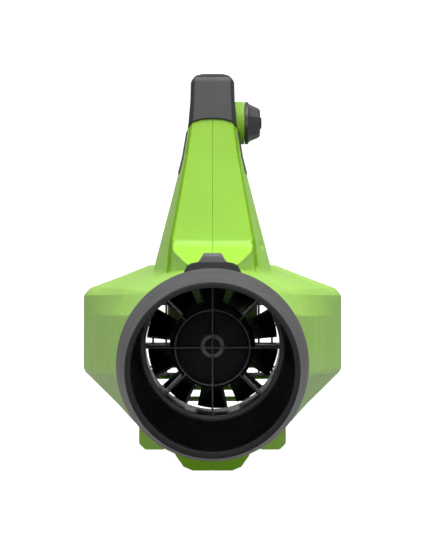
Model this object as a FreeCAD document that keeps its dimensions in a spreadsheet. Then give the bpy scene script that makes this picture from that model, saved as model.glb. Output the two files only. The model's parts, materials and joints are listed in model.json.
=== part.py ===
import FreeCAD, Part
import math
import os
import re

import Sketcher

# A battery leaf blower with a straight blow tube. +Z is up, the nozzle points along -Y and the origin
# is on the floor under the middle of the whole blower. All sizes are millimetres.

Vector = FreeCAD.Vector

SIZES = {
    # Fan axis, blow tube and nozzle. Names ending in _y are places along the fan axis.
    "axis_height": 98,
    "lip_y": -410,
    "lip_radius": 44,
    "lip_outer_radius": 46.6,
    "lip_land": 12,
    "nozzle_end_y": -321,
    "nozzle_end_radius": 56,
    "spigot_length": 23,
    "spigot_radius": 51.4,
    "tube_wall": 2.2,
    "tube_rear_radius": 58,
    "socket_y": 30,
    "tube_end_y": 58,
    "socket_bore": 58.5,
    "socket_radius": 60.5,
    "collar_radius": 62.8,
    "latch_base_half": 21.2,
    "latch_top_half": 17.4,
    "latch_top": 65.7,
    "latch_crown": 1.2,
    "latch_length": 44,
    "button_base_half": 10.8,
    "button_top_half": 6.6,
    "button_top": 74,
    "button_length": 24,
    "button_travel": 2.5,
    "button_floor": 61.6,
    # Fan duct, guard, motor and fan.
    "duct_front_y": 31,
    "duct_throat_y": 110,
    "duct_fan_y": 140,
    "duct_rear_y": 240,
    "duct_mouth_y": 252,
    "duct_bore": 56.2,
    "duct_outer": 58.2,
    "fan_bore": 59.5,
    "fan_duct_outer": 61.5,
    "mouth_bore": 64,
    "mouth_outer": 66,
    "guard_y": 46,
    "guard_depth": 5,
    "guard_rim": 52.9,
    "guard_ring": 29.4,
    "guard_rib": 1.5,
    "pod_radius": 35.6,
    "pod_wall": 1.8,
    "pod_front_y": 127,
    "pod_rear_y": 200,
    "nose_y": 99,
    "nose_boss": 9.7,
    "nose_boss_bore": 6.4,
    "vane_thickness": 1.6,
    "vane_front_y": 142,
    "vane_rear_y": 192,
    "can_radius": 33.6,
    "can_bore": 31.4,
    "can_front_y": 136,
    "can_rear_y": 190,
    "stator_bore": 17,
    "rotor_radius": 16.5,
    "shaft_radius": 4,
    "bearing_radius": 11,
    "bearing_width": 7,
    "running_gap": 0.03,
    "hub_radius": 36.4,
    "hub_front_y": 202,
    "hub_rear_y": 238,
    "fan_radius": 57.6,
    "blade_count": 10,
    "blade_thickness": 2.4,
    # Housing.
    "front_y": 60.4,
    "shoulder_y": 255,
    "wing_y": 290,
    "rear_y": 325,
    "wall": 2.4,
    "wing_half": 118.7,
    "wing_crease_half": 111,
    "body_top": 69,
    "body_bottom": -73,
    "column_top": 286,
    "cap_height": 324,
    "grip_core_half": 15,
    "grip_core_low": 286,
    "grip_core_top": 315,
    "cap_low": 278,
    "bay_half": 40.5,
    "bay_low": 108,
    "bay_top": 203,
    "bay_wall": 2.2,
    "hump_half": 43.2,
    "hump_top": 206,
    # Controls and battery.
    "dial_y": 160,
    "dial_height": 285.8,
    "dial_boss_radius": 18,
    "dial_boss_end": 27,
    "dial_gap": 0.4,
    "trigger_pivot_y": 192,
    "trigger_pivot_height": 294,
    "trigger_half": 7,
    "pin_radius": 2,
    "battery_half": 37.6,
    "battery_low": 111,
    "battery_top": 199,
    "battery_front_y": 268,
    "battery_rear_y": 410,
    "battery_wall": 2.5,
    "cell_radius": 9,
    "cell_length": 65,
}

doc = FreeCAD.newDocument("LeafBlower")
sheet = doc.addObject("Spreadsheet::Sheet", "sizes")
for row, (alias, value) in enumerate(SIZES.items(), start=1):
    sheet.set("A%d" % row, alias)
    sheet.set("B%d" % row, str(value))
    sheet.setAlias("B%d" % row, alias)
doc.recompute()

ALIAS = re.compile(r"\b(" + "|".join(SIZES) + r")\b")
nodes = []


def bound(text):
    """A formula in sheet names, as an expression that reads the sheet."""
    return ALIAS.sub(r"sizes.\1", str(text))


def size(name):
    """A driving dimension, as the sheet holds it now."""
    return float(sheet.get(name))


def body(name):
    return doc.addObject("PartDesign::Body", name)


def origin_part(owner, role):
    return [feature for feature in owner.Origin.OriginFeatures if feature.Role == role][0]


def new_sketch(owner, name, plane, offset):
    sketch = owner.newObject("Sketcher::SketchObject", name)
    sketch.AttachmentSupport = [(origin_part(owner, plane), "")]
    sketch.MapMode = "FlatFace"
    sketch.setExpression("AttachmentOffset.Base.z", bound(offset))
    return sketch


def outline(owner, name, plane, points, offset="0"):
    """A closed sketch through points, each a pair of formulas in sheet names."""
    sketch = new_sketch(owner, name, plane, offset)
    count = len(points)
    circle = [Vector(10 * math.cos(i), 10 * math.sin(i), 0) for i in range(count + 1)]
    for i in range(count):
        sketch.addGeometry(Part.LineSegment(circle[i], circle[i + 1]), False)
    for i in range(count):
        sketch.addConstraint(Sketcher.Constraint("Coincident", i, 2, (i + 1) % count, 1))
    for i, point in enumerate(points):
        for kind, formula in zip(("DistanceX", "DistanceY"), point):
            index = sketch.addConstraint(Sketcher.Constraint(kind, -1, 1, i, 1, 1.0))
            sketch.setExpression("Constraints[%d]" % index, bound(formula))
    return sketch


def rings(owner, name, plane, centre, radii, offset="0"):
    """A sketch of circles on one centre."""
    sketch = new_sketch(owner, name, plane, offset)
    for i, radius in enumerate(radii):
        sketch.addGeometry(Part.Circle(Vector(0, 0, 0), Vector(0, 0, 1), 10 + i), False)
        for kind, formula in zip(("DistanceX", "DistanceY"), centre):
            index = sketch.addConstraint(Sketcher.Constraint(kind, -1, 1, i, 3, 1.0))
            sketch.setExpression("Constraints[%d]" % index, bound(formula))
        index = sketch.addConstraint(Sketcher.Constraint("Radius", i, 10.0 + i))
        sketch.setExpression("Constraints[%d]" % index, bound(radius))
    return sketch


def turned(owner, name, points, kind="Revolution"):
    """A profile of (y, radius) points turned about the body's Y axis."""
    sketch = outline(owner, name + "_profile", "YZ_Plane", points)
    feature = owner.newObject("PartDesign::" + kind, name)
    feature.Profile = sketch
    feature.ReferenceAxis = (sketch, ["H_Axis"])
    feature.Angle = 360
    doc.recompute()
    return feature


def padded(owner, name, sketch, length, both_ways=False):
    feature = owner.newObject("PartDesign::Pad", name)
    feature.Profile = sketch
    feature.setExpression("Length", bound(length))
    feature.Midplane = both_ways
    doc.recompute()
    return feature


def pocketed(owner, name, sketch, length, both_ways=False, reverse=False):
    before = owner.Shape.Volume
    feature = owner.newObject("PartDesign::Pocket", name)
    feature.Profile = sketch
    feature.setExpression("Length", bound(length))
    feature.Midplane = both_ways
    feature.Reversed = reverse
    doc.recompute()
    if owner.Shape.Volume >= before - 1e-6:
        raise RuntimeError("%s cuts nothing" % name)
    return feature


def lofted(owner, name, plane, sections, kind="AdditiveLoft"):
    """A ruled loft through (offset, points) sections on parallel planes."""
    sketches = [
        outline(owner, "%s_section%d" % (name, i), plane, points, offset)
        for i, (offset, points) in enumerate(sections)
    ]
    feature = owner.newObject("PartDesign::" + kind, name)
    feature.Profile = sketches[0]
    feature.Sections = sketches[1:]
    feature.Ruled = True
    doc.recompute()
    return feature


def around_axis(owner, name, feature, count):
    pattern = owner.newObject("PartDesign::PolarPattern", name)
    pattern.Originals = [feature]
    pattern.Axis = (origin_part(owner, "Y_Axis"), [""])
    pattern.Angle = 360
    pattern.setExpression("Occurrences", bound(count))
    owner.Tip = pattern
    doc.recompute()
    return pattern


def rounded(owner, name, radius, chosen, kind="Fillet"):
    """Fillets or chamfers the straight or round edges of the body that chosen(edge) accepts."""
    base = owner.Tip
    names = ["Edge%d" % (i + 1) for i, edge in enumerate(base.Shape.Edges) if chosen(edge)]
    feature = owner.newObject("PartDesign::" + kind, name)
    feature.Base = (base, names)
    feature.setExpression("Radius" if kind == "Fillet" else "Size", bound(radius))
    doc.recompute()
    return feature


def along(axis):
    """Accepts straight edges that run along one axis."""

    def chosen(edge):
        if edge.Curve.TypeId != "Part::GeomLine":
            return False
        return abs(edge.Curve.Direction.dot(axis)) > 0.999

    return chosen


X, Y, Z = Vector(1, 0, 0), Vector(0, 1, 0), Vector(0, 0, 1)


def on_axis(thing):
    thing.setExpression("Placement.Base.z", bound("axis_height"))
    return thing


def done(thing, name=None):
    """Keeps a finished object as a node of the blower."""
    thing.Label = name or thing.Name
    nodes.append(thing)
    return thing


def boolean(kind, name, base, tool):
    feature = doc.addObject("Part::" + kind, name)
    feature.Base = base
    feature.Tool = tool
    doc.recompute()
    return feature


def fused(name, parts):
    feature = doc.addObject("Part::MultiFuse", name)
    feature.Shapes = parts
    doc.recompute()
    return feature


def block(name, low, high):
    """A Part::Box between two corners given as formulas."""
    thing = doc.addObject("Part::Box", name)
    for side, axis, start, end in zip(("Length", "Width", "Height"), "xyz", low, high):
        thing.setExpression(side, "(%s) - (%s)" % (bound(end), bound(start)))
        thing.setExpression("Placement.Base." + axis, bound(start))
    doc.recompute()
    return thing


def rod(name, radius, start, length, axis):
    """A Part::Cylinder from start, given as formulas, along an axis."""
    thing = doc.addObject("Part::Cylinder", name)
    thing.Placement.Rotation = FreeCAD.Rotation(Z, axis)
    thing.setExpression("Radius", bound(radius))
    thing.setExpression("Height", bound(length))
    for letter, formula in zip("xyz", start):
        thing.setExpression("Placement.Base." + letter, bound(formula))
    doc.recompute()
    return thing


def mirrored_outline(half):
    """A whole outline from its +X half, which starts and ends on x = 0."""
    inner = half[1:-1] if half[0][0] == "0" else half
    left = [("-(%s)" % x, y) for x, y in reversed(inner)]
    return half + left


# ---------------------------------------------------------------- blow tube and nozzle


def nozzle():
    part = body("nozzle")
    turned(part, "nozzle_shell", [
        ("lip_y", "lip_radius"),
        ("lip_y", "lip_outer_radius"),
        ("nozzle_end_y", "nozzle_end_radius"),
        ("nozzle_end_y", "spigot_radius"),
        ("nozzle_end_y - spigot_length", "spigot_radius"),
        ("nozzle_end_y - spigot_length", "spigot_radius - tube_wall"),
        ("lip_y + lip_land", "lip_radius"),
    ])
    rounded(part, "lip_round", "1.4", lambda edge: edge.BoundBox.YMax < size("lip_y") + 0.01
            and edge.BoundBox.XLength > 2 * size("lip_radius") + 1)
    done(on_axis(part))


def blower_tube():
    part = body("blower_tube")
    turned(part, "tube_shell", [
        ("nozzle_end_y - spigot_length", "spigot_radius - tube_wall"),
        ("nozzle_end_y - spigot_length", "spigot_radius"),
        ("nozzle_end_y", "spigot_radius"),
        ("nozzle_end_y", "nozzle_end_radius - 0.4"),
        ("socket_y - 12", "tube_rear_radius"),
        ("socket_y - 3", "socket_radius"),
        ("tube_end_y", "socket_radius"),
        ("tube_end_y", "socket_bore"),
        ("socket_y", "socket_bore"),
        ("socket_y", "duct_bore"),
        ("socket_y - 12", "tube_rear_radius - tube_wall"),
        ("nozzle_end_y + 6", "nozzle_end_radius - 0.3 - tube_wall"),
        ("nozzle_end_y - 4", "spigot_radius - tube_wall"),
    ])
    done(on_axis(part))


def tube_collar():
    part = body("tube_collar")
    turned(part, "collar_ring", [
        ("socket_y - 3", "socket_radius"),
        ("socket_y - 3", "collar_radius - 0.8"),
        ("socket_y - 1", "collar_radius"),
        ("tube_end_y - 2", "collar_radius"),
        ("tube_end_y", "collar_radius - 0.8"),
        ("tube_end_y", "socket_radius"),
    ])
    step = outline(part, "latch_step", "XZ_Plane", mirrored_outline([
        ("0", "60.9"),
        ("latch_base_half + 1", "60.9 - 2.4"),
        ("latch_base_half", "collar_radius - 2"),
        ("latch_top_half + 1.8", "latch_top - 1.6"),
        ("latch_top_half - 1", "latch_top"),
        ("button_base_half", "latch_top + latch_crown"),
        ("0", "latch_top + latch_crown"),
    ]), "-tube_end_y + 1")
    padded(part, "latch_base", step, "latch_length")
    slot = outline(part, "button_slot", "XY_Plane", [
        ("-(button_base_half + 0.4)", "tube_end_y - 8 - button_length - 0.4"),
        ("button_base_half + 0.4", "tube_end_y - 8 - button_length - 0.4"),
        ("button_base_half + 0.4", "tube_end_y - 8 + 0.4"),
        ("-(button_base_half + 0.4)", "tube_end_y - 8 + 0.4"),
    ], "button_top")
    pocketed(part, "button_pocket", slot, "button_top - button_floor")
    done(on_axis(part))


def tube_button():
    part = body("tube_button")
    rear = "tube_end_y - 8"
    stations = ((rear, "2.5"), (rear + " - 5", "0"), (rear + " - button_length + 4", "0"),
                (rear + " - button_length", "2.5"))
    lofted(part, "button_block", "XZ_Plane", [
        ("-(%s)" % y, mirrored_outline([
            ("0", "button_floor + button_travel + 0.4"),
            ("button_base_half", "button_floor + button_travel + 0.4"),
            ("button_base_half", "latch_top + latch_crown + 0.6"),
            ("button_top_half", "button_top - " + drop),
            ("0", "button_top - " + drop),
        ]))
        for y, drop in stations
    ])
    seat = rings(part, "spring_seat", "XY_Plane", ("0", rear + " - button_length / 2"), ["4.2"],
                 "button_floor")
    pocketed(part, "spring_pocket", seat, "button_travel + 0.4 + 5", reverse=True)
    done(on_axis(part))


def coil(name, radius, wire, start, length, turns):
    """A compression spring standing on start, a point on its axis, along +Z."""
    helix = Part.makeHelix(length / turns, length, radius)
    section = Part.Wire(Part.makeCircle(wire, Vector(radius, 0, 0), Y))
    spring = doc.addObject("Part::Feature", name)
    spring.Shape = Part.Wire(helix).makePipeShell([section], True, True)
    spring.Placement.Base = start
    return done(spring)


def button_spring():
    start = Vector(0, size("tube_end_y") - 8 - size("button_length") / 2,
                   size("axis_height") + size("button_floor") + 0.6)
    coil("tube_button_spring", 3.2, 0.45, start, size("button_travel") + 4.2, 4)


def tube_seal():
    part = body("tube_seal")
    turned(part, "seal_ring", [
        ("tube_end_y + 0.35", "duct_outer + 0.3"),
        ("tube_end_y + 0.35", "socket_radius"),
        ("front_y", "socket_radius"),
        ("front_y", "duct_outer"),
    ])
    done(on_axis(part))


# ---------------------------------------------------------------- duct, guard, motor and fan


def fan_duct():
    part = body("fan_duct")
    turned(part, "duct_shell", [
        ("duct_front_y", "duct_bore"),
        ("duct_front_y", "duct_outer"),
        ("duct_throat_y", "duct_outer"),
        ("duct_fan_y", "fan_duct_outer"),
        ("duct_rear_y", "fan_duct_outer"),
        ("duct_mouth_y", "mouth_outer"),
        ("duct_mouth_y", "mouth_bore"),
        ("duct_rear_y", "fan_bore"),
        ("duct_fan_y", "fan_bore"),
        ("duct_throat_y", "duct_bore"),
    ])
    turned(part, "motor_pod", [
        ("pod_front_y", "pod_radius - pod_wall"),
        ("pod_front_y", "pod_radius"),
        ("pod_rear_y", "pod_radius"),
        ("pod_rear_y", "pod_radius - pod_wall"),
    ])
    vane = outline(part, "vane_outline", "YZ_Plane", [
        ("vane_front_y", "pod_radius - pod_wall / 2"),
        ("vane_rear_y", "pod_radius - pod_wall / 2"),
        ("vane_rear_y", "fan_bore + 1"),
        ("vane_front_y", "fan_bore + 1"),
    ])
    blade = padded(part, "vane", vane, "vane_thickness", both_ways=True)
    around_axis(part, "vanes", blade, "8")
    done(on_axis(part))


def outlet_guard():
    part = body("outlet_guard")
    offset = "-(guard_y + guard_depth)"
    rim = rings(part, "rim_circles", "XZ_Plane", ("0", "0"), ["guard_rim", "duct_bore"], offset)
    padded(part, "rim", rim, "guard_depth")
    ring = rings(part, "ring_circles", "XZ_Plane", ("0", "0"),
                 ["guard_ring - guard_rib / 2", "guard_ring + guard_rib / 2"], offset)
    padded(part, "ring", ring, "guard_depth")
    bar = outline(part, "bar_outline", "XZ_Plane", [
        ("-(guard_rim + 1)", "-guard_rib / 2"),
        ("guard_rim + 1", "-guard_rib / 2"),
        ("guard_rim + 1", "guard_rib / 2"),
        ("-(guard_rim + 1)", "guard_rib / 2"),
    ], offset)
    long_bar = padded(part, "bar", bar, "guard_depth")
    around_axis(part, "cross", long_bar, "4")
    spoke = outline(part, "spoke_outline", "XZ_Plane", [
        ("guard_ring", "-guard_rib / 2"),
        ("guard_rim + 1", "-guard_rib / 2"),
        ("guard_rim + 1", "guard_rib / 2"),
        ("guard_ring", "guard_rib / 2"),
    ], offset)
    spoke.AttachmentOffset.Rotation = FreeCAD.Rotation(Z, 45)
    short_spoke = padded(part, "spoke", spoke, "guard_depth")
    around_axis(part, "spokes", short_spoke, "4")
    done(on_axis(part))


def motor_nose():
    part = body("motor_nose")
    turned(part, "nose_dome", [
        ("nose_y", "nose_boss_bore"),
        ("nose_y", "nose_boss"),
        ("nose_y + 5", "nose_boss"),
        ("nose_y + 7", "19"),
        ("nose_y + 12", "27.5"),
        ("nose_y + 19", "33.2"),
        ("pod_front_y", "pod_radius"),
        ("pod_front_y", "pod_radius - pod_wall"),
        ("nose_y + 20", "31"),
        ("nose_y + 13.5", "25.5"),
        ("nose_y + 9", "17.5"),
        ("nose_y + 7", "8"),
        ("nose_y + 7", "0"),
        ("nose_y + 4", "0"),
        ("nose_y + 4", "nose_boss_bore"),
    ])
    done(on_axis(part))


def motor_can():
    part = body("motor_can")
    turned(part, "can_shell", [
        ("can_front_y", "can_bore"),
        ("can_front_y", "can_radius"),
        ("can_rear_y", "can_radius"),
        ("can_rear_y", "can_bore"),
    ])
    done(on_axis(part))


def motor_stator():
    part = body("motor_stator")
    turned(part, "yoke", [
        ("can_front_y + 10", "can_bore - 4"),
        ("can_front_y + 10", "can_bore"),
        ("can_rear_y - 10", "can_bore"),
        ("can_rear_y - 10", "can_bore - 4"),
    ])
    tooth = outline(part, "tooth_outline", "XY_Plane", [
        ("-2", "can_front_y + 10"),
        ("2", "can_front_y + 10"),
        ("2", "can_rear_y - 10"),
        ("-2", "can_rear_y - 10"),
    ], "stator_bore")
    one = padded(part, "tooth", tooth, "can_bore - 3 - stator_bore")
    around_axis(part, "teeth", one, "9")
    done(on_axis(part))


def motor_windings():
    part = body("winding_block")
    coil_block = outline(part, "winding_outline", "XY_Plane", [
        ("-4.2", "can_front_y + 7"),
        ("4.2", "can_front_y + 7"),
        ("4.2", "can_rear_y - 7"),
        ("-4.2", "can_rear_y - 7"),
    ], "stator_bore + 2")
    one = padded(part, "winding", coil_block, "can_bore - 5 - stator_bore - 2")
    tooth = outline(part, "tooth_gap", "XY_Plane", [
        ("-2.05", "can_front_y + 9.9"),
        ("2.05", "can_front_y + 9.9"),
        ("2.05", "can_rear_y - 9.9"),
        ("-2.05", "can_rear_y - 9.9"),
    ], "stator_bore")
    pocketed(part, "winding_core", tooth, "can_bore - stator_bore", reverse=True)
    one = on_axis(part)
    doc.recompute()
    turns = [one]
    for i in range(1, 9):
        copy = doc.addObject("Part::Feature", "winding_%d" % i)
        copy.Shape = one.Shape.rotated(Vector(0, 0, size("axis_height")), Y, 40 * i)
        turns.append(copy)
    group = doc.addObject("Part::Compound", "motor_winding_set")
    group.Links = turns
    doc.recompute()
    done(group, "motor_windings")


def end_plate(name, y):
    """A motor end plate with a bearing seat; y is the plate's front face."""
    part = body(name)
    turned(part, name + "_disc", [
        (y, "bearing_radius"),
        (y, "can_radius"),
        (y + " + 3", "can_radius"),
        (y + " + 3", "bearing_radius + 2.5"),
        (y + " + bearing_width", "bearing_radius + 2.5"),
        (y + " + bearing_width", "bearing_radius"),
    ])
    done(on_axis(part))


def bearing(name, y):
    part = body(name)
    turned(part, name + "_ring", [
        (y, "shaft_radius + running_gap"),
        (y, "bearing_radius"),
        (y + " + bearing_width", "bearing_radius"),
        (y + " + bearing_width", "shaft_radius + running_gap"),
    ])
    done(on_axis(part))


def motor_rotor():
    part = body("motor_rotor")
    turned(part, "magnet_ring", [
        ("can_front_y + 10", "shaft_radius"),
        ("can_front_y + 10", "rotor_radius"),
        ("can_rear_y - 10", "rotor_radius"),
        ("can_rear_y - 10", "shaft_radius"),
    ])
    done(on_axis(part))


def motor_shaft():
    part = body("motor_shaft")
    turned(part, "shaft_rod", [
        ("pod_front_y + 1", "0"),
        ("pod_front_y + 1", "shaft_radius"),
        ("hub_rear_y + 5", "shaft_radius"),
        ("hub_rear_y + 5", "0"),
    ])
    done(on_axis(part))


def motor_screws():
    screws = []
    for i in range(3):
        angle = math.radians(90 + 120 * i)
        place = ("26 * %f" % math.cos(angle), "can_front_y - 10",
                 "axis_height + 26 * %f" % math.sin(angle))
        head = rod("motor_screw_head_%d" % i, "2.6", place, "3", Y)
        screws.append(head)
    group = doc.addObject("Part::Compound", "motor_screws")
    group.Links = screws
    doc.recompute()
    done(group)


def fan_impeller():
    part = body("fan_blank")
    turned(part, "hub_cup", [
        ("hub_front_y", "shaft_radius"),
        ("hub_front_y", "hub_radius - 2"),
        ("hub_front_y + 2", "hub_radius"),
        ("hub_rear_y", "hub_radius"),
        ("hub_rear_y", "hub_radius - 3"),
        ("hub_front_y + 3", "hub_radius - 3"),
        ("hub_front_y + 3", "9"),
        ("hub_rear_y - 8", "9"),
        ("hub_rear_y - 8", "shaft_radius"),
    ])
    middle = "(hub_front_y + hub_rear_y) / 2"
    sections = []
    for radius, half_width, half_depth in (("hub_radius - 2.6", 7.4, 16.5),
                                           ("fan_radius + 2", 13, 13.5)):
        sections.append((radius, [
            ("-%s - blade_thickness / 2" % half_width, "%s - %s" % (middle, half_depth)),
            ("-%s + blade_thickness / 2" % half_width, "%s - %s" % (middle, half_depth)),
            ("1.5 + blade_thickness / 2", "%s + 1.5" % middle),
            ("%s + blade_thickness / 2" % half_width, "%s + %s" % (middle, half_depth)),
            ("%s - blade_thickness / 2" % half_width, "%s + %s" % (middle, half_depth)),
            ("1.5 - blade_thickness / 2", "%s + 1.5" % middle),
        ]))
    blade = lofted(part, "blade", "XY_Plane", sections)
    around_axis(part, "blades", blade, "blade_count")
    envelope = on_axis_rod("fan_envelope", "fan_radius", "hub_front_y - 5",
                           "hub_rear_y - hub_front_y + 10")
    done(boolean("Common", "fan_impeller", on_axis(part), envelope))


def fan_nut():
    part = body("fan_nut")
    hexagon = [("7 * cos(%d)" % angle, "7 * sin(%d)" % angle) for angle in range(0, 360, 60)]
    nut = outline(part, "nut_outline", "XZ_Plane", hexagon, "-(hub_rear_y - 2)")
    padded(part, "nut_block", nut, "6")
    hole = rings(part, "nut_bore_circle", "XZ_Plane", ("0", "0"), ["shaft_radius"],
                 "-(hub_rear_y - 1)")
    pocketed(part, "nut_bore", hole, "8", reverse=True)
    done(on_axis(part))


# ---------------------------------------------------------------- housing


def wing_section(inset, top, top_x, shoulder, corner, side, low, low_x, bottom):
    """The body's outline round the fan axis, moved in by inset; heights are from the axis.

    The shoulder and the corner under it are (half width, height) pairs.
    """
    near = "%s * 0.6" % inset
    return mirrored_outline([
        ("0", "axis_height + %s - %s" % (top, inset)),
        ("%s - %s" % (top_x, near), "axis_height + %s - %s" % (top, inset)),
        ("%s - %s" % (shoulder[0], near), "axis_height + %s - %s" % (shoulder[1], inset)),
        ("%s - %s" % (corner[0], inset), "axis_height + %s - %s" % (corner[1], near)),
        ("%s - %s" % (side, inset), "axis_height + 24"),
        ("%s - %s" % (side, inset), "axis_height + %s + %s" % (low, near)),
        ("%s - %s" % (low_x, near), "axis_height + %s + %s" % (bottom, inset)),
        ("0", "axis_height + %s + %s" % (bottom, inset)),
    ])


def wing_body(name, inset, front, rear):
    """The six-sided body: a ring at the tube that spreads to the wings, then runs to the back."""
    part = body(name)
    lofted(part, name + "_loft", "XZ_Plane", [
        ("-(%s)" % front,
         wing_section(inset, 64, 15, (50.4, 44.6), (53, 42), 64.5, -24, 27, -62)),
        ("-shoulder_y",
         wing_section(inset, "body_top", 57, (106, 49), ("wing_crease_half", 42),
                      "wing_crease_half", -27, 70, "body_bottom")),
        ("-wing_y",
         wing_section(inset, "body_top", 57.6, (113, 48.5), ("wing_half", 42), "wing_half",
                      -27, 72, "body_bottom")),
        ("-(%s)" % rear,
         wing_section(inset, "body_top - 2", 56, (110.5, 46.5), ("wing_half - 2.5", 40),
                      "wing_half - 2.5", -26, 70.5, "body_bottom + 2")),
    ])
    return part


# The front post's corners at one height, as (y, half width): the middle of the front, the edge of the
# tongue that runs to the tube, the two sides of the chamfer band and the straight side.
COLUMN = (
    # height, corners, back y
    (146, ((62, 16), (64, 18), (108, 35.6), (111, 38.8), (150, 53.4)), 236),
    (164, ((64, 19.6), (66, 21.2), (108.4, 34.2), (111.4, 37.3), (150, 48.9)), 230),
    (171, ((84, 27), (86.5, 28.4), (108.8, 33.8), (111.8, 36.8), (151, 47.2)), 227),
    (174.5, ((95, 31), (97, 31.8), (109, 33.5), (112, 36.4), (152, 46.3)), 224),
    (177.5, ((102, 32.4), (103.5, 32.8), (109.2, 33.3), (112.2, 36.1), (153, 45.5)), 222),
    (181, ((107, 31), (107.6, 32.5), (109.4, 33), (112.4, 35.7), (153.5, 44.7)), 220.5),
    (186, ((109.8, 28), (109.8, 30.5), (109.8, 32.5), (112.8, 35.1), (154, 43.4)), 217.5),
    (222, ((113, 22), (113, 24.5), (113, 26), (116, 28.4), (152, 34)), 200),
    (256, ((116, 16.5), (116, 18.6), (116, 20.2), (119, 22.3), (148, 25.3)), 188),
    (286, ((118, 12.4), (118, 14.4), (118, 15.8), (121, 17.8), (144, 20)), 180),
)
CORNER_INSETS = ((1, 0.5), (1, 0.5), (1, 0.5), (0.6, 0.8), (0.3, 1))


def column_section(corners, back, inset):
    """The front post's outline at one height, moved in by inset."""
    half = [("0", "%s + %s" % (corners[0][0], inset))]
    for (y, width), (share_y, share_x) in zip(corners, CORNER_INSETS):
        half.append(("%s - %s * %s" % (width, inset, share_x), "%s + %s * %s" % (y, inset, share_y)))
    half.append(("%s - %s" % (corners[-1][1], inset), "%s - %s" % (back, inset)))
    half.append(("0", "%s - %s" % (back, inset)))
    return mirrored_outline(half)


def column(name, inset, top):
    """The front post, wide at the body and narrow under the grip, ending at the height top."""
    part = body(name)
    sections = [(str(height), column_section(corners, back, inset))
                for height, corners, back in COLUMN[:-1]]
    sections.append((top, column_section(*COLUMN[-1][1:], inset)))
    lofted(part, name + "_loft", "XY_Plane", sections)
    return part


def arch(name):
    """Everything above the cap's arched lower edge, over the front of the post."""
    part = body(name)
    section = outline(part, name + "_outline", "XZ_Plane", mirrored_outline([
        ("0", "cap_low + 7.2"),
        ("9", "cap_low + 6.6"),
        ("16", "cap_low + 4.6"),
        ("20.4", "cap_low + 0.6"),
        ("30", "cap_low + 0.6"),
        ("30", "cap_height + 10"),
        ("0", "cap_height + 10"),
    ]), "-145")
    padded(part, name + "_pad", section, "45")
    return part


def side_block(name, points, half, radius=None):
    """A side view outline padded to both sides of the seam."""
    part = body(name)
    sketch = outline(part, name + "_side", "YZ_Plane", points)
    padded(part, name + "_pad", sketch, "2 * (%s)" % half, both_ways=True)
    if radius:
        rounded(part, name + "_round", radius, along(X))
    return part


def handle_loop(name, inset, half):
    """The grip's core and the rear post that carries it down to the battery hump."""
    return side_block(name, [
        ("118.5 + " + inset, "column_top - 14"),
        ("121 + " + inset, "grip_core_top - " + inset),
        ("316 - " + inset, "grip_core_top - " + inset),
        ("330 - %s * 1.2" % inset, "grip_core_top - 16 - %s * 0.5" % inset),
        ("322 - " + inset, "hump_top - 8"),
        ("284 + " + inset, "hump_top - 8"),
        ("292 + " + inset, "grip_core_low + " + inset),
        ("182 - " + inset, "grip_core_low + " + inset),
        ("177 - " + inset, "column_top - 14"),
    ], half)


def hump(name, inset, rear):
    """The raised back of the body over the battery bay."""
    part = body(name)
    section = outline(part, name + "_outline", "XZ_Plane", mirrored_outline([
        ("0", "hump_top - " + inset),
        ("hump_half - 9 - %s * 0.4" % inset, "hump_top - " + inset),
        ("hump_half - " + inset, "hump_top - 10 - %s * 0.4" % inset),
        ("hump_half - " + inset, "axis_height + 40"),
        ("0", "axis_height + 40"),
    ]), "-(%s)" % rear)
    padded(part, name + "_pad", section, "(%s) - 214 - (%s)" % (rear, inset))
    return part


def rest_pad(name, inset):
    """The wide foot under the neck, with bevelled corners."""
    part = body(name)
    section = outline(part, name + "_outline", "XZ_Plane", mirrored_outline([
        ("0", "0 + " + inset),
        ("15.8 - %s * 0.5" % inset, "0 + " + inset),
        ("23 - %s * 0.7" % inset, "3.1 + " + inset),
        ("29.5 - " + inset, "12.3 + %s * 0.5" % inset),
        ("31 - " + inset, "44"),
        ("0", "44"),
    ]), "-(112 - (%s))" % inset)
    padded(part, name + "_pad", section, "48 - 2 * (%s)" % inset)
    return part


def rear_foot(name, inset, side):
    """One of the two feet under the wings; side is 1 or -1."""
    part = body(name)
    points = [
        ("%d * (38 + %s)" % (side, inset), "30"),
        ("%d * (40 + %s)" % (side, inset), "4 + " + inset),
        ("%d * (44 + %s * 0.5)" % (side, inset), "0 + " + inset),
        ("%d * (61 - %s * 0.5)" % (side, inset), "0 + " + inset),
        ("%d * (66.6 - %s)" % (side, inset), "5.5 + %s * 0.5" % inset),
        ("%d * (66.6 - %s)" % (side, inset), "30"),
    ]
    section = outline(part, name + "_outline", "XZ_Plane", points, "-(304 - (%s))" % inset)
    padded(part, name + "_pad", section, "40 - 2 * (%s)" % inset)
    return part


def shell_solid(name, inset, front, rear, column_top, arched=False):
    """The whole housing as one solid, moved in by inset."""
    post = column(name + "_column", inset, column_top)
    if arched:
        post = boolean("Cut", name + "_post", post, arch(name + "_arch"))
    return fused(name, [
        wing_body(name + "_wings", inset, front, rear),
        post,
        handle_loop(name + "_loop", inset, "grip_core_half - (%s)" % inset),
        hump(name + "_hump", inset, rear),
        rest_pad(name + "_pad", inset),
        rear_foot(name + "_foot_right", inset, 1),
        rear_foot(name + "_foot_left", inset, -1),
    ])


SCREWS = (
    # y, height and half width of the housing there
    (138, 181, 42),
    (150, 236, 30.5),
    (306, 236, 15),
    (308, 292, 15),
    (88, 14, 29),
)


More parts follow.
